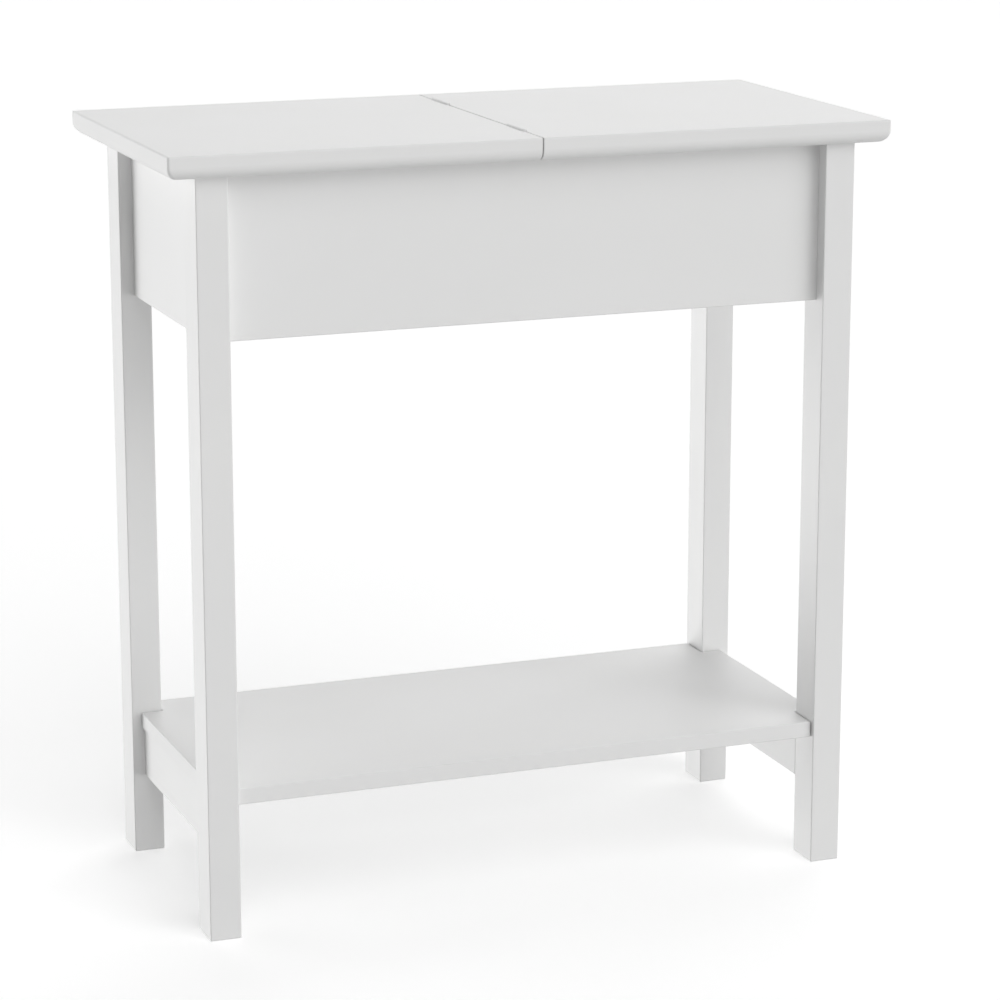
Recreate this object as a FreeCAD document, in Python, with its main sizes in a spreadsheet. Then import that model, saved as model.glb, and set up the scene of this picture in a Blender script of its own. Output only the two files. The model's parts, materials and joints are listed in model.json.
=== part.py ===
import FreeCAD, Part
import os
import Sketcher
from types import SimpleNamespace

# Narrow end table whose top is split across the middle: the right half is a lid that folds over the left.
# Millimetres, +Z up, +X to the right, the front at -Y, the origin on the floor under the middle of the table.

doc = FreeCAD.newDocument("lift_top_end_table")

# Driving sizes
SIZES = {
    # Top board and the split that divides it
    "table_height": 610,
    "top_length": 584,
    "top_depth": 283,
    "top_thickness": 18,
    "top_corner": 2,
    "top_edge_round": 9,
    "top_arris": 1.5,
    "split_gap": 1,
    "split_arris": 0.4,
    # Legs, set in from the top's edges
    "leg_width": 25,
    "leg_depth": 33,
    "leg_arris": 1,
    "side_overhang": 24.3,
    "front_overhang": 14.1,
    # Box under the top: aprons stand back from the legs' outer faces
    "apron_height": 126,
    "apron_thickness": 13,
    "front_recess": 12.4,
    "side_recess": 11,
    "board_arris": 0.8,
    "floor_thickness": 6,
    "floor_rise": 8,
    "groove_depth": 5,
    "groove_play": 0.3,
    "divider_thickness": 13,
    # Shelf and the rails that carry its ends
    "shelf_top_height": 119.5,
    "shelf_thickness": 13,
    "shelf_front_inset": 4,
    "shelf_end_overhang": 2,
    "shelf_leg_gap": 0.8,
    "rail_height": 41.2,
    "rail_thickness": 15,
    # Dowels: how far each kind enters its second piece, and how they are spaced
    "dowel_diameter": 8,
    "dowel_length": 28,
    "dowel_chamfer": 1,
    "dowel_in_leg": 12,
    "dowel_in_top": 10,
    "dowel_in_apron": 8,
    "apron_dowel_spread": 32,
    "side_dowel_spread": 16,
    "rail_dowel_spread": 10,
    "divider_dowel_spread": 32,
    "top_dowel_inset": 37.5,
    "bore_play": 0.1,
    "bore_relief": 0.6,
    # Cam fittings: a bolt in one board, drawn in by a cam nut in the other
    "cam_diameter": 15,
    "cam_wall": 2.2,
    "cam_plate": 2.2,
    "cam_play": 0.3,
    "cam_setback": 24,
    "cam_recess_length": 8,
    "cam_recess_width": 1.4,
    "cam_recess_depth": 1.4,
    "bolt_diameter": 6,
    "bolt_neck_diameter": 4,
    "bolt_head_length": 3,
    "bolt_thread_length": 8,
    "bolt_bore_play": 0.8,
    "top_fixing_from_split": 70,
    "top_fixing_from_leg": 62,
    # Hinges let into the two edges of the split, with the pin just above the top's surface
    "hinge_length": 38,
    "hinge_inset": 56,
    "hinge_rise": 0.3,
    "knuckle_gap": 0.2,
    "knuckle_play": 0.3,
    "pin_diameter": 1.4,
    "pin_play": 0.05,
    "leaf_thickness": 0.8,
    "leaf_height": 12,
    "leaf_corner": 2,
    "mortise_play": 0.2,
    "hinge_screw_diameter": 2.5,
    "hinge_screw_length": 12,
    "hinge_screw_head": 4.2,
    "hinge_screw_inset": 8,
    "hinge_screw_slot": 0.6,
    # Screws that come up through the rails into the shelf
    "shelf_screw_diameter": 4,
    "shelf_screw_head": 8,
    "shelf_screw_head_height": 3,
    "shelf_screw_slot": 1.2,
    "shelf_screw_bite": 8,
    "shelf_screw_inset": 37.5,
    "counterbore_depth": 14.5,
    "counterbore_play": 0.5,
    "screw_tip": 3,
}

# Fixed numbers of the design
KNUCKLES = 5
NEAR = 0.01
FRONT, REAR = -1, 1
LEFT, RIGHT = -1, 1

sheet = doc.addObject("Spreadsheet::Sheet", "Sizes")
for row, (alias, number) in enumerate(SIZES.items(), start=1):
    sheet.set(f"A{row}", alias.replace("_", " "))
    sheet.set(f"B{row}", str(number))
    sheet.setAlias(f"B{row}", alias)
doc.recompute()


class Size:
    """A length with its present value and the spreadsheet formula that gives it."""

    def __init__(self, value, formula):
        self.value = value
        self.formula = formula

    def joined(self, sign, other, value):
        formula = other.formula if isinstance(other, Size) else str(other)
        return Size(value, f"({self.formula} {sign} {formula})")

    def __add__(self, other):
        return self.joined("+", other, self.value + plain(other))

    def __sub__(self, other):
        return self.joined("-", other, self.value - plain(other))

    def __truediv__(self, number):
        return self.joined("/", number, self.value / number)

    def __rmul__(self, number):
        return Size(number * self.value, f"({number} * {self.formula})")

    def __neg__(self):
        return -1 * self


def plain(size):
    return size.value if isinstance(size, Size) else size


cell = SimpleNamespace(**{alias: Size(float(sheet.get(alias)), f"Sizes.{alias}") for alias in SIZES})
NIL = 0 * cell.table_height

# Heights and lines that several pieces share
top_under = cell.table_height - cell.top_thickness
leg_out_x = cell.top_length / 2 - cell.side_overhang
leg_out_y = cell.top_depth / 2 - cell.front_overhang
leg_in_x = leg_out_x - cell.leg_width
leg_in_y = leg_out_y - cell.leg_depth
leg_mid_x = leg_out_x - cell.leg_width / 2
leg_mid_y = leg_out_y - cell.leg_depth / 2
apron_bottom = top_under - cell.apron_height
apron_mid_z = apron_bottom + cell.apron_height / 2
apron_mid_x = leg_out_x - cell.side_recess - cell.apron_thickness / 2
apron_mid_y = leg_out_y - cell.front_recess - cell.apron_thickness / 2
apron_in_x = apron_mid_x - cell.apron_thickness / 2
apron_in_y = apron_mid_y - cell.apron_thickness / 2
floor_bottom = apron_bottom + cell.floor_rise
floor_top = floor_bottom + cell.floor_thickness
divider_mid_z = (floor_top + top_under) / 2
shelf_bottom = cell.shelf_top_height - cell.shelf_thickness
rail_bottom = shelf_bottom - cell.rail_height
rail_mid_z = rail_bottom + cell.rail_height / 2
rail_mid_x = leg_in_x + cell.rail_thickness / 2
rail_out_x = leg_in_x + cell.rail_thickness
split_x = cell.split_gap / 2
hinge_axis_z = cell.table_height + cell.hinge_rise
hinge_y = cell.top_depth / 2 - cell.hinge_inset

# Sizes that follow from the fittings
dowel_bore = cell.dowel_diameter + 2 * cell.bore_play
thread_bore = cell.bolt_diameter + 2 * cell.bore_play
thread_depth = cell.bolt_thread_length + cell.bore_relief
bolt_bore = cell.bolt_diameter + 2 * cell.bolt_bore_play
cam_bore = cell.cam_diameter + 2 * cell.bore_play
cam_axis_depth = cell.cam_plate + cell.cam_play + cell.bolt_diameter / 2
cam_height = cam_axis_depth + cell.bolt_diameter / 2 + cell.cam_play
cam_axis_y = apron_in_y + cam_axis_depth
cam_axis_x = cam_axis_depth - cell.divider_thickness / 2
leaf_back = split_x + cell.leaf_thickness
knuckle_radius = leaf_back
knuckle_pitch = cell.hinge_length / KNUCKLES
hinge_screw_drop = (cell.leaf_height + knuckle_radius) / 2
hinge_screw_y = cell.hinge_length / 2 - cell.hinge_screw_inset
top_fixings_x = (-cell.top_fixing_from_split, cell.top_fixing_from_leg - leg_in_x)
top_dowel_y = leg_in_y - cell.top_dowel_inset
shelf_screw_y = leg_in_y - cell.shelf_screw_inset
shelf_screw_length = cell.rail_height - cell.counterbore_depth + cell.shelf_screw_bite

# The two axes of a sketch on each plane, the axis square to it, and which way its normal points
AXES = {"XY_Plane": (0, 1, 2, 1), "XZ_Plane": (0, 2, 1, -1), "YZ_Plane": (1, 2, 0, 1)}

parts = []
origins = {}


def bind(thing, name, size):
    thing.setExpression(name, size.formula)


def place(thing, spot):
    for axis, size in zip("xyz", spot):
        bind(thing, f"Placement.Base.{axis}", size)


def piece(name, x, y, z):
    """A body whose sketches are written in the table's frame, although it has a place of its own."""
    body = doc.addObject("PartDesign::Body", name)
    body.Label = name
    place(body, (x, y, z))
    origins[name] = (x, y, z)
    return body


def sketch_on(body, name, plane, level):
    sketch = body.newObject("Sketcher::SketchObject", name)
    sketch.AttachmentSupport = [(next(f for f in body.Origin.OriginFeatures if f.Role == plane), "")]
    sketch.MapMode = "FlatFace"
    normal_axis, sign = AXES[plane][2:]
    bind(sketch, "AttachmentOffset.Base.z", sign * (level - origins[body.Name][normal_axis]))
    return sketch


def fix(sketch, kind, where, size):
    index = sketch.addConstraint(Sketcher.Constraint(kind, *where, size.value))
    label = f"{kind}_{index}"
    sketch.renameConstraint(index, label)
    bind(sketch, f"Constraints.{label}", size)


def fix_point(body, plane, sketch, geometry, corner, spot):
    for kind, axis, size in zip(("DistanceX", "DistanceY"), AXES[plane], spot):
        fix(sketch, kind, (-1, 1, geometry, corner), size - origins[body.Name][axis])


def outline(body, name, plane, level, points):
    """A closed sketch of straight lines through points of the table's frame."""
    sketch = sketch_on(body, name, plane, level)
    corners = [FreeCAD.Vector(u.value, v.value, 0) for u, v in points]
    for index, corner in enumerate(corners):
        sketch.addGeometry(Part.LineSegment(corner, corners[(index + 1) % len(corners)]))
    for index, spot in enumerate(points):
        sketch.addConstraint(Sketcher.Constraint("Coincident", index, 2, (index + 1) % len(points), 1))
        fix_point(body, plane, sketch, index, 1, spot)
    return sketch


def oblong(body, name, plane, level, low, high):
    points = [low, (high[0], low[1]), high, (low[0], high[1])]
    return outline(body, name, plane, level, points)


def discs(body, name, plane, level, centres, diameter):
    sketch = sketch_on(body, name, plane, level)
    for index, spot in enumerate(centres):
        middle = FreeCAD.Vector(spot[0].value, spot[1].value, 0)
        sketch.addGeometry(Part.Circle(middle, FreeCAD.Vector(0, 0, 1), diameter.value / 2))
        fix(sketch, "Diameter", (index,), diameter)
        fix_point(body, plane, sketch, index, 3, spot)
    return sketch


def pad(body, name, sketch, length):
    feature = body.newObject("PartDesign::Pad", name)
    feature.Profile = sketch
    bind(feature, "Length", length)


def pocket(body, name, sketch, plane, depth, toward):
    """A cut from the sketch's plane, towards + or - along the axis square to it."""
    feature = body.newObject("PartDesign::Pocket", name)
    feature.Profile = sketch
    feature.Reversed = toward * AXES[plane][3] > 0
    bind(feature, "Length", depth)


def bores(body, name, plane, level, toward, centres, diameter, depth):
    sketch = discs(body, f"{name}_centres", plane, level, centres, diameter)
    pocket(body, name, sketch, plane, depth, toward)


def rounded(body, name, radius, chosen):
    """A fillet on the edges of the body so far for which chosen(box of the edge) holds."""
    doc.recompute()
    base = body.Tip
    edges = [f"Edge{i}" for i, edge in enumerate(base.Shape.Edges, start=1) if chosen(edge.BoundBox)]
    feature = body.newObject("PartDesign::Fillet", name)
    feature.Base = (base, edges)
    bind(feature, "Radius", radius)


def primitive(body, kind, name, spot, direction=(0, 0, 1), **sizes):
    """An added or cut basic solid, placed from the body's own origin and pointing along direction."""
    feature = body.newObject(f"PartDesign::{kind}", name)
    for prop, size in sizes.items():
        bind(feature, prop, size)
    place(feature, spot)
    feature.Placement.Rotation = FreeCAD.Rotation(FreeCAD.Vector(0, 0, 1), FreeCAD.Vector(*direction))


def group(name, master, spots):
    """Copies of one fastener as separate solids: each spot has a point, its local Z and its local X."""
    links = []
    for index, (point, z_way, x_way) in enumerate(spots):
        link = doc.addObject("App::Link", f"{name}_{index}")
        link.LinkedObject = master
        place(link, point)
        z_way = FreeCAD.Vector(*z_way)
        x_way = FreeCAD.Vector(*x_way)
        link.Placement.Rotation = FreeCAD.Rotation(x_way, z_way.cross(x_way), z_way, "ZXY")
        links.append(link)
    compound = doc.addObject("Part::Compound", name)
    compound.Label = name
    compound.Links = links
    parts.append(compound)


def spread(middle, distance):
    return (middle - distance, middle + distance)


# Legs: straight posts, deeper than wide, with eased arrises, bored for the dowels and the cam bolts
def leg(name, side, end):
    body = piece(name, side * leg_mid_x, end * leg_mid_y, NIL)
    x, y = side * leg_mid_x, end * leg_mid_y
    half_x, half_y = cell.leg_width / 2, cell.leg_depth / 2
    section = oblong(body, "section", "XY_Plane", NIL, (x - half_x, y - half_y), (x + half_x, y + half_y))
    pad(body, "post", section, top_under)
    rounded(body, "arrises", cell.leg_arris, lambda box: box.ZMin < NEAR)
    dowel_depth = cell.dowel_in_leg + cell.bore_relief
    inner_x, inner_y = side * leg_in_x, end * leg_in_y
    long_dowels = [(end * apron_mid_y, z) for z in spread(apron_mid_z, cell.apron_dowel_spread)]
    bores(body, "apron_dowel_bores", "YZ_Plane", inner_x, side, long_dowels, dowel_bore, dowel_depth)
    bolt = [(end * cam_axis_y, apron_mid_z)]
    bores(body, "bolt_thread", "YZ_Plane", inner_x, side, bolt, thread_bore, thread_depth)
    short_dowels = [(side * apron_mid_x, z) for z in spread(apron_mid_z, cell.side_dowel_spread)]
    short_dowels += [(side * rail_mid_x, z) for z in spread(rail_mid_z, cell.rail_dowel_spread)]
    bores(body, "side_dowel_bores", "XZ_Plane", inner_y, end, short_dowels, dowel_bore, dowel_depth)
    parts.append(body)


# Front and rear aprons: grooved for the floor, drawn to the legs, the top and the divider by cam fittings
def long_apron(name, end):
    body = piece(name, NIL, end * apron_mid_y, apron_bottom)
    half = cell.apron_thickness / 2
    middle_y, inner_y = end * apron_mid_y, end * apron_in_y
    section = oblong(body, "section", "XY_Plane", apron_bottom,
                     (-leg_in_x, middle_y - half), (leg_in_x, middle_y + half))
    pad(body, "board", section, cell.apron_height)
    rounded(body, "arrises", cell.board_arris, lambda box: box.ZMax < NEAR and box.XLength > box.YLength)
    groove_top = floor_top + cell.groove_play
    groove = oblong(body, "groove_shape", "YZ_Plane", -leg_in_x,
                    (inner_y, floor_bottom), (inner_y + end * cell.groove_depth, groove_top))
    pocket(body, "groove", groove, "YZ_Plane", 2 * leg_in_x, RIGHT)
    dowels = [(middle_y, z) for z in spread(apron_mid_z, cell.apron_dowel_spread)]
    dowel_depth = cell.dowel_length - cell.dowel_in_leg + cell.bore_relief
    bolt = [(end * cam_axis_y, apron_mid_z)]
    for side, word in ((LEFT, "left"), (RIGHT, "right")):
        end_x = side * leg_in_x
        bores(body, f"{word}_dowel_bores", "YZ_Plane", end_x, -side, dowels, dowel_bore, dowel_depth)
        bores(body, f"{word}_bolt_bore", "YZ_Plane", end_x, -side, bolt, bolt_bore, cell.cam_setback)
    top_bolts = [(x, end * cam_axis_y) for x in top_fixings_x]
    bores(body, "top_bolt_bores", "XY_Plane", top_under, -1, top_bolts, bolt_bore, cell.cam_setback)
    cams = [(side * (leg_in_x - cell.cam_setback), apron_mid_z) for side in (LEFT, RIGHT)]
    cams += [(x, top_under - cell.cam_setback) for x in top_fixings_x]
    bores(body, "cam_bores", "XZ_Plane", inner_y, end, cams, cam_bore, cam_height)
    divider_bolt = [(cam_axis_x, divider_mid_z)]
    bores(body, "divider_bolt_thread", "XZ_Plane", inner_y, end, divider_bolt, thread_bore, thread_depth)
    divider_dowels = [(NIL, z) for z in spread(divider_mid_z, cell.divider_dowel_spread)]
    bores(body, "divider_dowel_bores", "XZ_Plane", inner_y, end, divider_dowels, dowel_bore,
          cell.dowel_in_apron + cell.bore_relief)
    parts.append(body)


# Side aprons: dowelled between the legs, the left one also under the fixed half of the top
def side_apron(name, side):
    body = piece(name, side * apron_mid_x, NIL, apron_bottom)
    half = cell.apron_thickness / 2
    middle_x, inner_x = side * apron_mid_x, side * apron_in_x
    section = oblong(body, "section", "XY_Plane", apron_bottom,
                     (middle_x - half, -leg_in_y), (middle_x + half, leg_in_y))
    pad(body, "board", section, cell.apron_height)
    rounded(body, "arrises", cell.board_arris, lambda box: box.ZMax < NEAR and box.YLength > box.XLength)
    groove_top = floor_top + cell.groove_play
    groove = oblong(body, "groove_shape", "XZ_Plane", -leg_in_y,
                    (inner_x, floor_bottom), (inner_x + side * cell.groove_depth, groove_top))
    pocket(body, "groove", groove, "XZ_Plane", 2 * leg_in_y, REAR)
    dowels = [(middle_x, z) for z in spread(apron_mid_z, cell.side_dowel_spread)]
    dowel_depth = cell.dowel_length - cell.dowel_in_leg + cell.bore_relief
    for end, word in ((FRONT, "front"), (REAR, "rear")):
        bores(body, f"{word}_dowel_bores", "XZ_Plane", end * leg_in_y, -end, dowels, dowel_bore, dowel_depth)
    if side == LEFT:
        top_dowels = [(middle_x, y) for y in spread(NIL, top_dowel_y)]
        bores(body, "top_dowel_bores", "XY_Plane", top_under, -1, top_dowels, dowel_bore,
              cell.dowel_length - cell.dowel_in_top + cell.bore_relief)
    parts.append(body)


# Boards whose corners are cut out round the legs
def notched_board(name, bottom, thickness, end_x, end_y, notch_x, notch_y):
    body = piece(name, NIL, NIL, bottom)
    points = []
    for x_sign, y_sign in ((LEFT, FRONT), (RIGHT, FRONT), (RIGHT, REAR), (LEFT, REAR)):
        corner = [(x_sign * end_x, y_sign * notch_y), (x_sign * notch_x, y_sign * notch_y),
                  (x_sign * notch_x, y_sign * end_y)]
        points += corner if x_sign * y_sign > 0 else corner[::-1]
    pad(body, "board", outline(body, "plan", "XY_Plane", bottom, points), thickness)
    parts.append(body)
    return body


def compartment_floor():
    reach = cell.groove_depth - cell.groove_play
    notched_board("compartment_floor", floor_bottom, cell.floor_thickness,
                  apron_in_x + reach, apron_in_y + reach,
                  leg_in_x - cell.groove_play, leg_in_y - cell.groove_play)


def shelf():
    body = notched_board("shelf", shelf_bottom, cell.shelf_thickness,
                         rail_out_x + cell.shelf_end_overhang, leg_out_y - cell.shelf_front_inset,
                         leg_in_x - cell.shelf_leg_gap, leg_in_y - cell.shelf_leg_gap)
    rounded(body, "arrises", cell.board_arris, lambda box: box.ZLength < NEAR)
    screws = [(side * rail_mid_x, y) for side in (LEFT, RIGHT) for y in spread(NIL, shelf_screw_y)]
    bores(body, "screw_bores", "XY_Plane", shelf_bottom, 1, screws,
          cell.shelf_screw_diameter + 2 * cell.bore_play, cell.shelf_screw_bite + cell.bore_relief)


# Rails: flush with the legs' inner faces, counterbored from below for the shelf's screws
def rail(name, side):
    body = piece(name, side * rail_mid_x, NIL, rail_bottom)
    middle_x = side * rail_mid_x
    half = cell.rail_thickness / 2
    section = oblong(body, "section", "XY_Plane", rail_bottom,
                     (middle_x - half, -leg_in_y), (middle_x + half, leg_in_y))
    pad(body, "board", section, cell.rail_height)
    rounded(body, "arrises", cell.board_arris, lambda box: box.ZMax < NEAR and box.YLength > box.XLength)
    dowels = [(middle_x, z) for z in spread(rail_mid_z, cell.rail_dowel_spread)]
    dowel_depth = cell.dowel_length - cell.dowel_in_leg + cell.bore_relief
    for end, word in ((FRONT, "front"), (REAR, "rear")):
        bores(body, f"{word}_dowel_bores", "XZ_Plane", end * leg_in_y, -end, dowels, dowel_bore, dowel_depth)
    screws = [(middle_x, y) for y in spread(NIL, shelf_screw_y)]
    bores(body, "counterbores", "XY_Plane", rail_bottom, 1, screws,
          cell.shelf_screw_head + 2 * cell.counterbore_play, cell.counterbore_depth)
    bores(body, "screw_bores", "XY_Plane", rail_bottom, 1, screws,
          cell.shelf_screw_diameter + 2 * cell.bore_play, cell.rail_height)
    parts.append(body)


# Divider under the split: both halves of the top rest on it
def centre_divider():
    body = piece("centre_divider", NIL, NIL, floor_top)
    half = cell.divider_thickness / 2
    section = oblong(body, "section", "XY_Plane", floor_top, (-half, -apron_in_y), (half, apron_in_y))
    pad(body, "board", section, top_under - floor_top)
    dowels = [(NIL, z) for z in spread(divider_mid_z, cell.divider_dowel_spread)]
    dowel_depth = cell.dowel_length - cell.dowel_in_apron + cell.bore_relief
    bolt = [(cam_axis_x, divider_mid_z)]
    for end, word in ((FRONT, "front"), (REAR, "rear")):
        end_y = end * apron_in_y
        bores(body, f"{word}_dowel_bores", "XZ_Plane", end_y, -end, dowels, dowel_bore, dowel_depth)
        bores(body, f"{word}_bolt_bore", "XZ_Plane", end_y, -end, bolt, bolt_bore, cell.cam_setback)
    cams = [(y, divider_mid_z) for y in spread(NIL, apron_in_y - cell.cam_setback)]
    bores(body, "cam_bores", "YZ_Plane", -half, RIGHT, cams, cam_bore, cam_height)
    parts.append(body)


# Halves of the top: rounded under the outer edges, just eased round the split, let in for the hinges
def top_half(name, side):
    body = piece(name, NIL, NIL, top_under)
    half_depth = cell.top_depth / 2
    edge_x, outer_x = side * split_x, side * (cell.top_length / 2)
    plan = oblong(body, "plan", "XY_Plane", top_under, (edge_x, -half_depth), (outer_x, half_depth))
    pad(body, "board", plan, cell.top_thickness)

    def at_split(box):
        return max(abs(box.XMin), abs(box.XMax)) < split_x.value + NEAR

    thickness = cell.top_thickness.value
    rounded(body, "corners", cell.top_corner, lambda box: box.ZLength > NEAR and not at_split(box))
    rounded(body, "under_edges", cell.top_edge_round, lambda box: box.ZMax < NEAR and not at_split(box))
    rounded(body, "top_edges", cell.top_arris, lambda box: box.ZMin > thickness - NEAR and not at_split(box))
    rounded(body, "split_edges", cell.split_arris, at_split)
    for end, word in ((FRONT, "front"), (REAR, "rear")):
        reach = cell.hinge_length / 2 + cell.mortise_play
        near_y, far_y = spread(end * hinge_y, reach)
        mortise = oblong(body, f"{word}_mortise_shape", "YZ_Plane", edge_x,
                         (near_y, hinge_axis_z - cell.leaf_height - cell.mortise_play), (far_y, hinge_axis_z))
        pocket(body, f"{word}_mortise", mortise, "YZ_Plane", cell.leaf_thickness, side)
        bores(body, f"{word}_barrel_room", "XZ_Plane", near_y, REAR, [(NIL, hinge_axis_z)],
              2 * (knuckle_radius + cell.knuckle_play), 2 * reach)
        screws = [(y, hinge_axis_z - hinge_screw_drop) for y in spread(end * hinge_y, hinge_screw_y)]
        bores(body, f"{word}_screw_bores", "YZ_Plane", side * leaf_back, side, screws,
              cell.hinge_screw_diameter + 2 * cell.bore_play,
              cell.hinge_screw_length - cell.leaf_thickness + cell.bore_relief)
    parts.append(body)
    return body


def fixed_top():
    body = top_half("fixed_top", LEFT)
    bolts = [(x, y) for x in top_fixings_x for y in spread(NIL, cam_axis_y)]
    bores(body, "bolt_threads", "XY_Plane", top_under, 1, bolts, thread_bore, thread_depth)
    dowels = [(-apron_mid_x, y) for y in spread(NIL, top_dowel_y)]
    bores(body, "dowel_bores", "XY_Plane", top_under, 1, dowels, dowel_bore,
          cell.dowel_in_top + cell.bore_relief)


# Hinges: each leaf is a plate with its own knuckles, cleared where the other leaf's knuckles turn
def leaf(name, side, end, own, others):
    body = piece(name, NIL, end * hinge_y, hinge_axis_z)
    low_x = split_x if side == RIGHT else -leaf_back
    start_y = -(cell.hinge_length / 2)
    primitive(body, "AdditiveBox", "plate", (low_x, start_y, -cell.leaf_height), Length=cell.leaf_thickness,
              Width=cell.hinge_length, Height=cell.leaf_height)
    bottom = -cell.leaf_height.value + NEAR
    rounded(body, "corners", cell.leaf_corner, lambda box: box.ZMax < bottom and box.XLength > box.YLength)
    along_y = (0, 1, 0)
    for index in others:
        room_y = start_y + index * knuckle_pitch - cell.knuckle_gap / 2
        primitive(body, "SubtractiveCylinder", f"room_{index}", (NIL, room_y, NIL), along_y,
                  Radius=knuckle_radius + cell.knuckle_play, Height=knuckle_pitch + cell.knuckle_gap)
    for index in own:
        knuckle_y = start_y + index * knuckle_pitch + cell.knuckle_gap / 2
        primitive(body, "AdditiveCylinder", f"knuckle_{index}", (NIL, knuckle_y, NIL), along_y,
                  Radius=knuckle_radius, Height=knuckle_pitch - cell.knuckle_gap)
    primitive(body, "SubtractiveCylinder", "pin_bore", (NIL, start_y, NIL), along_y,
              Radius=cell.pin_diameter / 2 + cell.pin_play, Height=cell.hinge_length)
    head_radius = cell.hinge_screw_head / 2 + cell.bore_play
    for index, y in enumerate(spread(NIL, hinge_screw_y)):
        spot = (side * split_x, y, -hinge_screw_drop)
        primitive(body, "SubtractiveCylinder", f"screw_hole_{index}", spot, (side, 0, 0),
                  Radius=cell.hinge_screw_diameter / 2 + cell.bore_play, Height=cell.leaf_thickness)
        primitive(body, "SubtractiveCone", f"countersink_{index}", spot, (side, 0, 0), Radius1=head_radius,
                  Radius2=head_radius - cell.leaf_thickness, Height=cell.leaf_thickness)
    parts.append(body)


def hinge_pin(name, end):
    pin = doc.addObject("Part::Cylinder", name)
    pin.Label = name
    bind(pin, "Radius", cell.pin_diameter / 2)
    bind(pin, "Height", cell.hinge_length)
    place(pin, (NIL, end * hinge_y - cell.hinge_length / 2, hinge_axis_z))
    pin.Placement.Rotation = FreeCAD.Rotation(FreeCAD.Vector(0, 0, 1), FreeCAD.Vector(0, 1, 0))
    parts.append(pin)


# Fasteners: one turned master of each kind, which the groups repeat
def turned(name, profile):
    """A solid of revolution about Z from half of its outline, given as radius and height."""
    body = piece(name, NIL, NIL, NIL)
    half = outline(body, "half_outline", "XZ_Plane", NIL, profile)
    feature = body.newObject("PartDesign::Revolution", "turning")
    feature.Profile = half
    feature.ReferenceAxis = (half, ["V_Axis"])
    feature.Angle = 360
    return body


def cross_recess(body, face_z, length, width, depth):
    for word, along_x, along_y in (("slot_one", length, width), ("slot_two", width, length)):
        primitive(body, "SubtractiveBox", word, (-(along_x / 2), -(along_y / 2), face_z - depth),
                  Length=along_x, Width=along_y, Height=depth)


def dowel_master():
    radius = cell.dowel_diameter / 2
    length, chamfer = cell.dowel_length, cell.dowel_chamfer
    return turned("dowel", [(NIL, NIL), (radius - chamfer, NIL), (radius, chamfer),
                            (radius, length - chamfer), (radius - chamfer, length), (NIL, length)])


def cam_bolt_master():
    radius, neck = cell.bolt_diameter / 2, cell.bolt_neck_diameter / 2
    shank_end = cell.cam_setback - cell.cam_diameter / 2 - cell.cam_play
    head_start, head_end = spread(cell.cam_setback, cell.bolt_head_length / 2)
    return turned("cam_bolt", [(NIL, -cell.bolt_thread_length), (radius, -cell.bolt_thread_length),
                               (radius, shank_end), (neck, shank_end), (neck, head_start),
                               (radius, head_start), (radius, head_end), (NIL, head_end)])


def cam_nut_master():
    outer = cell.cam_diameter / 2
    inner = outer - cell.cam_wall
    body = turned("cam_nut", [(NIL, NIL), (outer, NIL), (outer, -cam_height), (inner, -cam_height),
                              (inner, -cell.cam_plate), (NIL, -cell.cam_plate)])
    slot = cell.bolt_neck_diameter + 2 * cell.cam_play
    primitive(body, "SubtractiveBox", "bolt_slot", (NIL, -(slot / 2), -cam_height), Length=outer, Width=slot,
              Height=cam_height - cell.cam_plate)
    cross_recess(body, NIL, cell.cam_recess_length, cell.cam_recess_width, cell.cam_recess_depth)
    return body


def hinge_screw_master():
    radius, head = cell.hinge_screw_diameter / 2, cell.hinge_screw_head / 2
    length = cell.hinge_screw_length
    body = turned("hinge_screw", [(NIL, NIL), (head, NIL), (radius, radius - head),
                                  (radius, cell.screw_tip - length), (NIL, -length)])
    cross_recess(body, NIL, cell.hinge_screw_head / 2, cell.hinge_screw_slot, cell.hinge_screw_slot)
    return body


def shelf_screw_master():
    radius, head = cell.shelf_screw_diameter / 2, cell.shelf_screw_head / 2
    height = cell.shelf_screw_head_height
    tip = -shelf_screw_length
    body = turned("shelf_screw", [(NIL, height), (head, height), (head, NIL), (radius, NIL),
                                  (radius, tip + cell.screw_tip), (NIL, tip)])
    cross_recess(body, height, cell.shelf_screw_head / 2, cell.shelf_screw_slot, cell.shelf_screw_slot)
    return body


def dowel_groups():
    dowel = dowel_master()
    x_ways = {LEFT: (-1, 0, 0), RIGHT: (1, 0, 0)}
    y_ways = {FRONT: (0, -1, 0), REAR: (0, 1, 0)}
    up = (0, 0, 1)
    in_apron = cell.dowel_length - cell.dowel_in_leg
    group("apron_dowels", dowel,
          [((side * (leg_in_x - in_apron), end * apron_mid_y, z), x_ways[side], up)
           for side in x_ways for end in y_ways for z in spread(apron_mid_z, cell.apron_dowel_spread)])
    group("side_apron_dowels", dowel,
          [((side * apron_mid_x, end * (leg_in_y - in_apron), z), y_ways[end], up)
           for side in x_ways for end in y_ways for z in spread(apron_mid_z, cell.side_dowel_spread)])
    group("rail_dowels", dowel,
          [((side * rail_mid_x, end * (leg_in_y - in_apron), z), y_ways[end], up)
           for side in x_ways for end in y_ways for z in spread(rail_mid_z, cell.rail_dowel_spread)])
    in_divider = cell.dowel_length - cell.dowel_in_apron
    group("divider_dowels", dowel,
          [((NIL, end * (apron_in_y - in_divider), z), y_ways[end], up)
           for end in y_ways for z in spread(divider_mid_z, cell.divider_dowel_spread)])
    in_side = cell.dowel_length - cell.dowel_in_top
    group("top_dowels", dowel,
          [((-apron_mid_x, y, top_under - in_side), up, x_ways[RIGHT]) for y in spread(NIL, top_dowel_y)])


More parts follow.
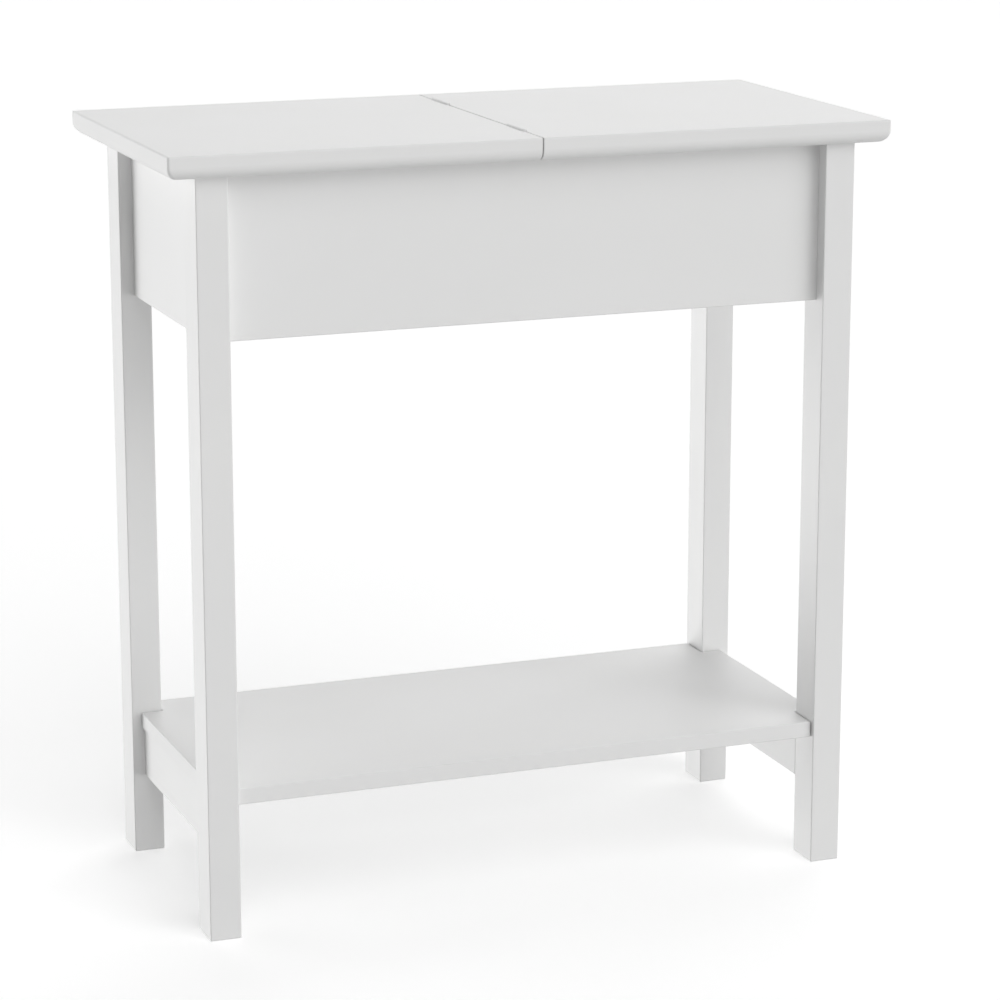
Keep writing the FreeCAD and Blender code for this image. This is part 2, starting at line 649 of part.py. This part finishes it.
def cam_groups():
    """Each fitting: where the bolt leaves its board, the way it points, and the way the nut's face looks."""
    fittings = []
    for end in (FRONT, REAR):
        inward = (0, -end, 0)
        for side in (LEFT, RIGHT):
            fittings.append(((side * leg_in_x, end * cam_axis_y, apron_mid_z), (-side, 0, 0), inward))
        for x in top_fixings_x:
            fittings.append(((x, end * cam_axis_y, top_under), (0, 0, -1), inward))
        fittings.append(((cam_axis_x, end * apron_in_y, divider_mid_z), inward, (LEFT, 0, 0)))
    bolts = []
    nuts = []
    for start, way, face in fittings:
        bolts.append((start, way, face))
        seat = [s + w * cell.cam_setback + f * cam_axis_depth for s, w, f in zip(start, way, face)]
        nuts.append((seat, face, [-w for w in way]))
    group("cam_bolts", cam_bolt_master(), bolts)
    group("cam_nuts", cam_nut_master(), nuts)


def screw_groups():
    screw = hinge_screw_master()
    up = (0, 0, 1)
    for name, side in (("fixed_leaf_screws", LEFT), ("lid_leaf_screws", RIGHT)):
        group(name, screw,
              [((side * split_x, y, hinge_axis_z - hinge_screw_drop), (-side, 0, 0), up)
               for end in (FRONT, REAR) for y in spread(end * hinge_y, hinge_screw_y)])
    head_z = rail_bottom + cell.counterbore_depth
    group("shelf_screws", shelf_screw_master(),
          [((side * rail_mid_x, y, head_z), (0, 0, -1), (1, 0, 0))
           for side in (LEFT, RIGHT) for y in spread(NIL, shelf_screw_y)])


def check_and_write():
    """Stop on any failed object, empty shape or cut that removed nothing, then write one file per piece."""
    doc.recompute()
    for thing in doc.Objects:
        if {"Invalid", "Error"} & set(thing.State):
            raise RuntimeError(f"{thing.Name} failed to rebuild")
        if thing.TypeId != "PartDesign::Pocket":
            continue
        if thing.Shape.Volume > thing.BaseFeature.Shape.Volume - NEAR:
            raise RuntimeError(f"{thing.Name} of {thing.getParentGeoFeatureGroup().Name} cuts nothing")
    for part in parts:
        if part.Shape.isNull() or not part.Shape.isValid():
            raise RuntimeError(f"{part.Label} has no valid shape")
    os.makedirs("parts", exist_ok=True)
    for part in parts:
        part.Shape.exportStep(f"parts/{part.Label}.step")
        print(part.Label, len(part.Shape.Solids), round(part.Shape.Volume))


for end_word, end_sign in (("front", FRONT), ("rear", REAR)):
    for side_word, side_sign in (("left", LEFT), ("right", RIGHT)):
        leg(f"leg_{end_word}_{side_word}", side_sign, end_sign)
    long_apron(f"{end_word}_apron", end_sign)
    leaf(f"hinge_{end_word}_fixed_leaf", LEFT, end_sign, range(0, KNUCKLES, 2), range(1, KNUCKLES, 2))
    leaf(f"hinge_{end_word}_lid_leaf", RIGHT, end_sign, range(1, KNUCKLES, 2), range(0, KNUCKLES, 2))
    hinge_pin(f"hinge_{end_word}_pin", end_sign)
for side_word, side_sign in (("left", LEFT), ("right", RIGHT)):
    side_apron(f"{side_word}_apron", side_sign)
    rail(f"{side_word}_rail", side_sign)
compartment_floor()
centre_divider()
shelf()
fixed_top()
top_half("lid", RIGHT)
dowel_groups()
cam_groups()
screw_groups()
check_and_write()
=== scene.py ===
import bmesh
import bpy
import json
import math
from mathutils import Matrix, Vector

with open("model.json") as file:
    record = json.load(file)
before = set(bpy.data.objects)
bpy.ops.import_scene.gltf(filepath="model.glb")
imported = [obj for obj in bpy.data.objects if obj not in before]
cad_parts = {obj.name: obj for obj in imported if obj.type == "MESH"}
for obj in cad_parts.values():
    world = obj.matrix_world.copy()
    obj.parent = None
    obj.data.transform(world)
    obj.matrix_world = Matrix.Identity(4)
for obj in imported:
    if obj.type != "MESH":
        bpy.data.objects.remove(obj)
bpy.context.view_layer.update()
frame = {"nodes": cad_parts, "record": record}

MM = 0.001

# Camera: the photograph's standpoint and direction, with a longer lens so that the table fills the picture
EYE = Vector((-0.9543, -2.5565, 0.9650))
TURN_TO_RIGHT = math.radians(20.84)
TILT_DOWN = math.radians(13.74)
LENS_MM = 125.0
SENSOR_MM = 36.0

# Light: a dim white room and five wide soft lamps, each with its bearing from the front, turning to the
# right, its height above the horizon and the angle that it fills, in degrees, and its strength
ROOM_LIGHT = 0.1
LAMPS = {"rear_left_lamp": (232, -5, 60, 2.1),
         "front_lamp": (10, 40, 50, 1.1),
         "front_right_lamp": (45, 3, 50, 1.15),
         "rear_right_lamp": (146, 38, 50, 0.8),
         "overhead_lamp": (0, 85, 50, 0.4)}

# Floor: a pale sheet, which the camera sees as white with the table's shadow on it
FLOOR_SIZE = 40.0
FLOOR_COLOUR = "D2D2D2"
FLOOR_SEEN_COLOUR = "F2F2F2"
FLOOR_SEEN_GLOW = 0.39

# Noise patterns: most of a pattern, which runs from 0 to 1, lies between these values
NOISE_LOW = 0.3
NOISE_HIGH = 0.7

# Board edges: how far a surface faces along the board's thickness, on the flat faces and well round the edges
ON_THE_FACE = 0.9
ON_THE_EDGE = 0.4


def linear(hex_colour):
    """An sRGB hex colour as linear red, green, blue and a full alpha."""
    shares = [int(hex_colour[i:i + 2], 16) / 255 for i in (0, 2, 4)]
    return [s / 12.92 if s <= 0.04045 else ((s + 0.055) / 1.055) ** 2.4 for s in shares] + [1.0]


def per_metre(size_mm):
    """The scale of a pattern whose features are this wide."""
    return 1 / (size_mm * MM)


def along_grain(grain_axis, share):
    """The scale on each axis of a pattern that is drawn out along the grain, to this share of its scale."""
    return [share if axis == grain_axis else 1.0 for axis in "XYZ"]


def add(tree, kind, settings=None, inputs=None):
    """Adds a node with its settings, and sets or links its inputs by name or number."""
    node = tree.nodes.new(kind)
    for name, value in (settings or {}).items():
        setattr(node, name, value)
    for name, value in (inputs or {}).items():
        if isinstance(value, bpy.types.NodeSocket):
            tree.links.new(value, node.inputs[name])
        else:
            node.inputs[name].default_value = value
    return node


def new_material(name):
    material = bpy.data.materials.new(name)
    material.use_nodes = True
    material.node_tree.nodes.clear()
    return material, material.node_tree


# Sprayed satin paint on fibreboard: an even white with a faint orange peel, and on the board's cut edges,
# which drink the paint, a duller sheen with a little fibre in it
def satin_paint_on_fibreboard(thickness_axis):
    cloud_mm = 140
    peel_mm = 2.6
    # The real fibres are about 0.2 mm wide. They are drawn coarser, so that they show.
    fibre_mm = 0.9
    relief_mm = 0.05
    material, tree = new_material(f"satin_paint_on_fibreboard_{thickness_axis.lower()}")
    coords = add(tree, "ShaderNodeTexCoord")
    place = coords.outputs["Object"]
    facing = add(tree, "ShaderNodeSeparateXYZ", None, {"Vector": coords.outputs["Normal"]})
    face = add(tree, "ShaderNodeMath", {"operation": "ABSOLUTE"}, {0: facing.outputs[thickness_axis]})
    edge = add(tree, "ShaderNodeMapRange", None,
               {"Value": face.outputs[0], "From Min": ON_THE_FACE, "From Max": ON_THE_EDGE,
                "To Min": 0.0, "To Max": 1.0})
    cloud = add(tree, "ShaderNodeTexNoise", None,
                {"Vector": place, "Scale": per_metre(cloud_mm), "Detail": 2.0, "Roughness": 0.5})
    peel = add(tree, "ShaderNodeTexNoise", None,
               {"Vector": place, "Scale": per_metre(peel_mm), "Detail": 2.0, "Roughness": 0.55})
    fibre = add(tree, "ShaderNodeTexNoise", None,
                {"Vector": place, "Scale": per_metre(fibre_mm), "Detail": 3.0, "Roughness": 0.6})
    colour = add(tree, "ShaderNodeMix", {"data_type": "RGBA"},
                 {0: cloud.outputs["Fac"], 6: linear("E8E8E7"), 7: linear("ECECEC")})
    sheen = add(tree, "ShaderNodeMapRange", None,
                {"Value": peel.outputs["Fac"], "From Min": NOISE_LOW, "From Max": NOISE_HIGH,
                 "To Min": 0.46, "To Max": 0.54})
    dull = add(tree, "ShaderNodeMix", {"data_type": "FLOAT"},
               {0: edge.outputs[0], 2: sheen.outputs[0], 3: 0.62})
    relief = add(tree, "ShaderNodeMix", {"data_type": "FLOAT"},
                 {0: edge.outputs[0], 2: peel.outputs["Fac"], 3: fibre.outputs["Fac"]})
    bump = add(tree, "ShaderNodeBump", None,
               {"Height": relief.outputs[0], "Strength": 0.35, "Distance": relief_mm * MM})
    shader = add(tree, "ShaderNodeBsdfPrincipled", None,
                 {"Base Color": colour.outputs[2], "Roughness": dull.outputs[0], "IOR": 1.5,
                  "Normal": bump.outputs[0]})
    add(tree, "ShaderNodeOutputMaterial", None, {"Surface": shader.outputs[0]})
    return material


# Sprayed satin paint on hardwood: the same white, with the grain just raised along the length of the piece
def satin_paint_on_hardwood(grain_axis):
    cloud_mm = 90
    # The real pores are about 0.3 mm wide. They are drawn coarser, so that the grain shows.
    grain_mm = 2.2
    relief_mm = 0.06
    material, tree = new_material(f"satin_paint_on_hardwood_{grain_axis.lower()}")
    coords = add(tree, "ShaderNodeTexCoord")
    place = coords.outputs["Object"]
    along = add(tree, "ShaderNodeMapping", None, {"Vector": place, "Scale": along_grain(grain_axis, 0.03)})
    grain = add(tree, "ShaderNodeTexNoise", None,
                {"Vector": along.outputs[0], "Scale": per_metre(grain_mm), "Detail": 3.0, "Roughness": 0.6})
    cloud = add(tree, "ShaderNodeTexNoise", None,
                {"Vector": place, "Scale": per_metre(cloud_mm), "Detail": 2.0, "Roughness": 0.5})
    colour = add(tree, "ShaderNodeMix", {"data_type": "RGBA"},
                 {0: cloud.outputs["Fac"], 6: linear("E7E7E7"), 7: linear("ECECEB")})
    sheen = add(tree, "ShaderNodeMapRange", None,
                {"Value": grain.outputs["Fac"], "From Min": NOISE_LOW, "From Max": NOISE_HIGH,
                 "To Min": 0.46, "To Max": 0.56})
    bump = add(tree, "ShaderNodeBump", None,
               {"Height": grain.outputs["Fac"], "Strength": 0.35, "Distance": relief_mm * MM})
    shader = add(tree, "ShaderNodeBsdfPrincipled", None,
                 {"Base Color": colour.outputs[2], "Roughness": sheen.outputs[0], "IOR": 1.5,
                  "Normal": bump.outputs[0]})
    add(tree, "ShaderNodeOutputMaterial", None, {"Surface": shader.outputs[0]})
    return material


# Stoved satin enamel on steel: the same white as the paint, closer and slightly wavy
def stoved_enamel():
    wave_mm = 1.4
    relief_mm = 0.04
    material, tree = new_material("stoved_white_enamel")
    coords = add(tree, "ShaderNodeTexCoord")
    wave = add(tree, "ShaderNodeTexNoise", None,
               {"Vector": coords.outputs["Object"], "Scale": per_metre(wave_mm), "Detail": 1.0})
    colour = add(tree, "ShaderNodeMix", {"data_type": "RGBA"},
                 {0: wave.outputs["Fac"], 6: linear("E6E6E5"), 7: linear("EBEBEB")})
    sheen = add(tree, "ShaderNodeMapRange", None,
                {"Value": wave.outputs["Fac"], "From Min": NOISE_LOW, "From Max": NOISE_HIGH,
                 "To Min": 0.42, "To Max": 0.5})
    bump = add(tree, "ShaderNodeBump", None,
               {"Height": wave.outputs["Fac"], "Strength": 0.3, "Distance": relief_mm * MM})
    shader = add(tree, "ShaderNodeBsdfPrincipled", None,
                 {"Base Color": colour.outputs[2], "Roughness": sheen.outputs[0], "IOR": 1.52,
                  "Normal": bump.outputs[0]})
    add(tree, "ShaderNodeOutputMaterial", None, {"Surface": shader.outputs[0]})
    return material


# Zinc plated steel: bright and slightly blue, clouded by the passivation
def zinc_plated_steel():
    cloud_mm = 3.0
    material, tree = new_material("zinc_plated_steel")
    coords = add(tree, "ShaderNodeTexCoord")
    cloud = add(tree, "ShaderNodeTexNoise", None,
                {"Vector": coords.outputs["Object"], "Scale": per_metre(cloud_mm),
                 "Detail": 4.0, "Roughness": 0.6})
    colour = add(tree, "ShaderNodeMix", {"data_type": "RGBA"},
                 {0: cloud.outputs["Fac"], 6: linear("BFC3C9"), 7: linear("D6D8DA")})
    sheen = add(tree, "ShaderNodeMapRange", None,
                {"Value": cloud.outputs["Fac"], "From Min": NOISE_LOW, "From Max": NOISE_HIGH,
                 "To Min": 0.24, "To Max": 0.4})
    shader = add(tree, "ShaderNodeBsdfPrincipled", None,
                 {"Base Color": colour.outputs[2], "Roughness": sheen.outputs[0], "Metallic": 1.0})
    add(tree, "ShaderNodeOutputMaterial", None, {"Surface": shader.outputs[0]})
    return material


# Die-cast zinc: dull grey with the sandy skin of the mould
def die_cast_zinc():
    # The real skin is about 0.2 mm from grain to grain. It is drawn coarser, so that it shows.
    skin_mm = 0.7
    relief_mm = 0.05
    material, tree = new_material("die_cast_zinc")
    coords = add(tree, "ShaderNodeTexCoord")
    skin = add(tree, "ShaderNodeTexNoise", None,
               {"Vector": coords.outputs["Object"], "Scale": per_metre(skin_mm),
                "Detail": 4.0, "Roughness": 0.65})
    colour = add(tree, "ShaderNodeMix", {"data_type": "RGBA"},
                 {0: skin.outputs["Fac"], 6: linear("A4A6A9"), 7: linear("C2C3C5")})
    sheen = add(tree, "ShaderNodeMapRange", None,
                {"Value": skin.outputs["Fac"], "From Min": NOISE_LOW, "From Max": NOISE_HIGH,
                 "To Min": 0.45, "To Max": 0.6})
    bump = add(tree, "ShaderNodeBump", None,
               {"Height": skin.outputs["Fac"], "Strength": 0.4, "Distance": relief_mm * MM})
    shader = add(tree, "ShaderNodeBsdfPrincipled", None,
                 {"Base Color": colour.outputs[2], "Roughness": sheen.outputs[0], "Metallic": 1.0,
                  "Normal": bump.outputs[0]})
    add(tree, "ShaderNodeOutputMaterial", None, {"Surface": shader.outputs[0]})
    return material


# Beech: pale pinkish brown, with short dark flecks along the grain
def beech(grain_axis):
    grain_mm = 1.0
    # The real flecks are about 0.3 mm wide. They are drawn coarser, so that they show.
    fleck_mm = 0.8
    relief_mm = 0.05
    material, tree = new_material(f"beech_{grain_axis.lower()}")
    coords = add(tree, "ShaderNodeTexCoord")
    along = add(tree, "ShaderNodeMapping", None,
                {"Vector": coords.outputs["Object"], "Scale": along_grain(grain_axis, 0.12)})
    grain = add(tree, "ShaderNodeTexNoise", None,
                {"Vector": along.outputs[0], "Scale": per_metre(grain_mm), "Detail": 3.0, "Roughness": 0.6})
    fleck = add(tree, "ShaderNodeTexVoronoi", {"feature": "F1"},
                {"Vector": along.outputs[0], "Scale": per_metre(fleck_mm)})
    shade = add(tree, "ShaderNodeValToRGB", None, {"Fac": grain.outputs["Fac"]})
    late_wood, early_wood = shade.color_ramp.elements
    late_wood.position = NOISE_LOW
    late_wood.color = linear("C79F72")
    early_wood.position = NOISE_HIGH
    early_wood.color = linear("E0BE93")
    dark = add(tree, "ShaderNodeMapRange", None,
               {"Value": fleck.outputs["Distance"], "From Min": 0.05, "From Max": 0.25,
                "To Min": 0.6, "To Max": 0.0})
    colour = add(tree, "ShaderNodeMix", {"data_type": "RGBA"},
                 {0: dark.outputs[0], 6: shade.outputs["Color"], 7: linear("A87A4E")})
    bump = add(tree, "ShaderNodeBump", None,
               {"Height": grain.outputs["Fac"], "Strength": 0.4, "Distance": relief_mm * MM})
    shader = add(tree, "ShaderNodeBsdfPrincipled", None,
                 {"Base Color": colour.outputs[2], "Roughness": 0.6, "IOR": 1.5, "Normal": bump.outputs[0]})
    add(tree, "ShaderNodeOutputMaterial", None, {"Surface": shader.outputs[0]})
    return material


def finish_nodes():
    """Gives each piece the finish of its slot, turned the way its board or grain runs."""
    boards = {axis: satin_paint_on_fibreboard(axis) for axis in "XYZ"}
    posts = {axis: satin_paint_on_hardwood(axis) for axis in "YZ"}
    dowels = {axis: beech(axis) for axis in "XYZ"}
    by_slot = {"white_enamel": stoved_enamel(),
               "zinc_plate": zinc_plated_steel(),
               "zinc_casting": die_cast_zinc()}
    by_piece = {"fixed_top": boards["Z"], "lid": boards["Z"],
                "shelf": boards["Z"], "compartment_floor": boards["Z"],
                "front_apron": boards["Y"], "rear_apron": boards["Y"],
                "left_apron": boards["X"], "right_apron": boards["X"], "centre_divider": boards["X"],
                "left_rail": posts["Y"], "right_rail": posts["Y"],
                "apron_dowels": dowels["X"], "side_apron_dowels": dowels["Y"], "rail_dowels": dowels["Y"],
                "divider_dowels": dowels["Y"], "top_dowels": dowels["Z"]}
    by_piece |= {f"leg_{end}_{side}": posts["Z"] for end in ("front", "rear") for side in ("left", "right")}
    for subpart in frame["record"]["subparts"]:
        name = subpart["node"]
        piece = frame["nodes"][name]
        piece.data.materials.clear()
        piece.data.materials.append(by_piece.get(name) or by_slot[subpart["material_slot"]])


def seen_by_eye(tree):
    """1 for what the camera sees, straight or in metal or glass, and 0 for what only gives light."""
    ray = add(tree, "ShaderNodeLightPath")
    mirrored = add(tree, "ShaderNodeMath", {"operation": "MAXIMUM"},
                   {0: ray.outputs["Is Glossy Ray"], 1: ray.outputs["Is Transmission Ray"]})
    seen = add(tree, "ShaderNodeMath", {"operation": "MAXIMUM"},
               {0: ray.outputs["Is Camera Ray"], 1: mirrored.outputs[0]})
    return seen.outputs[0]


def lay_floor():
    mesh = bmesh.new()
    bmesh.ops.create_grid(mesh, x_segments=1, y_segments=1, size=FLOOR_SIZE / 2)
    data = bpy.data.meshes.new("floor")
    mesh.to_mesh(data)
    mesh.free()
    floor = bpy.data.objects.new("floor", data)
    bpy.context.scene.collection.objects.link(floor)
    # The low lamps reach the undersides from below the floor's level, as over a shadowless table
    floor.visible_shadow = False
    material, tree = new_material("pale_studio_floor")
    sheet = add(tree, "ShaderNodeBsdfDiffuse", None, {"Color": linear(FLOOR_COLOUR)})
    shaded = add(tree, "ShaderNodeBsdfDiffuse", None, {"Color": linear(FLOOR_SEEN_COLOUR)})
    glow = add(tree, "ShaderNodeEmission", None, {"Strength": FLOOR_SEEN_GLOW})
    shown = add(tree, "ShaderNodeAddShader", None, {0: shaded.outputs[0], 1: glow.outputs[0]})
    mix = add(tree, "ShaderNodeMixShader", None,
              {0: seen_by_eye(tree), 1: sheet.outputs[0], 2: shown.outputs[0]})
    add(tree, "ShaderNodeOutputMaterial", None, {"Surface": mix.outputs[0]})
    # Its glow is only for the eye and lights nothing
    material.cycles.emission_sampling = "NONE"
    data.materials.append(material)


def light_room():
    world = bpy.data.worlds.new("white_room")
    world.use_nodes = True
    bpy.context.scene.world = world
    tree = world.node_tree
    tree.nodes.clear()
    level = add(tree, "ShaderNodeMix", {"data_type": "FLOAT"}, {0: seen_by_eye(tree), 2: ROOM_LIGHT, 3: 1.0})
    white = add(tree, "ShaderNodeBackground", None,
                {"Strength": level.outputs[0], "Color": linear("FFFFFF")})
    add(tree, "ShaderNodeOutputWorld", None, {"Surface": white.outputs[0]})
    for name, (bearing, height, width, strength) in LAMPS.items():
        data = bpy.data.lights.new(name, "SUN")
        data.energy = strength
        data.angle = math.radians(width)
        lamp = bpy.data.objects.new(name, data)
        lamp.rotation_euler = (math.radians(90 - height), 0.0, math.radians(bearing))
        bpy.context.scene.collection.objects.link(lamp)


def set_camera():
    data = bpy.data.cameras.new("camera")
    data.lens = LENS_MM
    data.sensor_width = SENSOR_MM
    camera = bpy.data.objects.new("camera", data)
    camera.location = EYE
    camera.rotation_euler = (math.pi / 2 - TILT_DOWN, 0.0, -TURN_TO_RIGHT)
    bpy.context.scene.collection.objects.link(camera)
    bpy.context.scene.camera = camera


finish_nodes()
lay_floor()
light_room()
set_camera()
bpy.context.scene.view_settings.view_transform = "Standard"
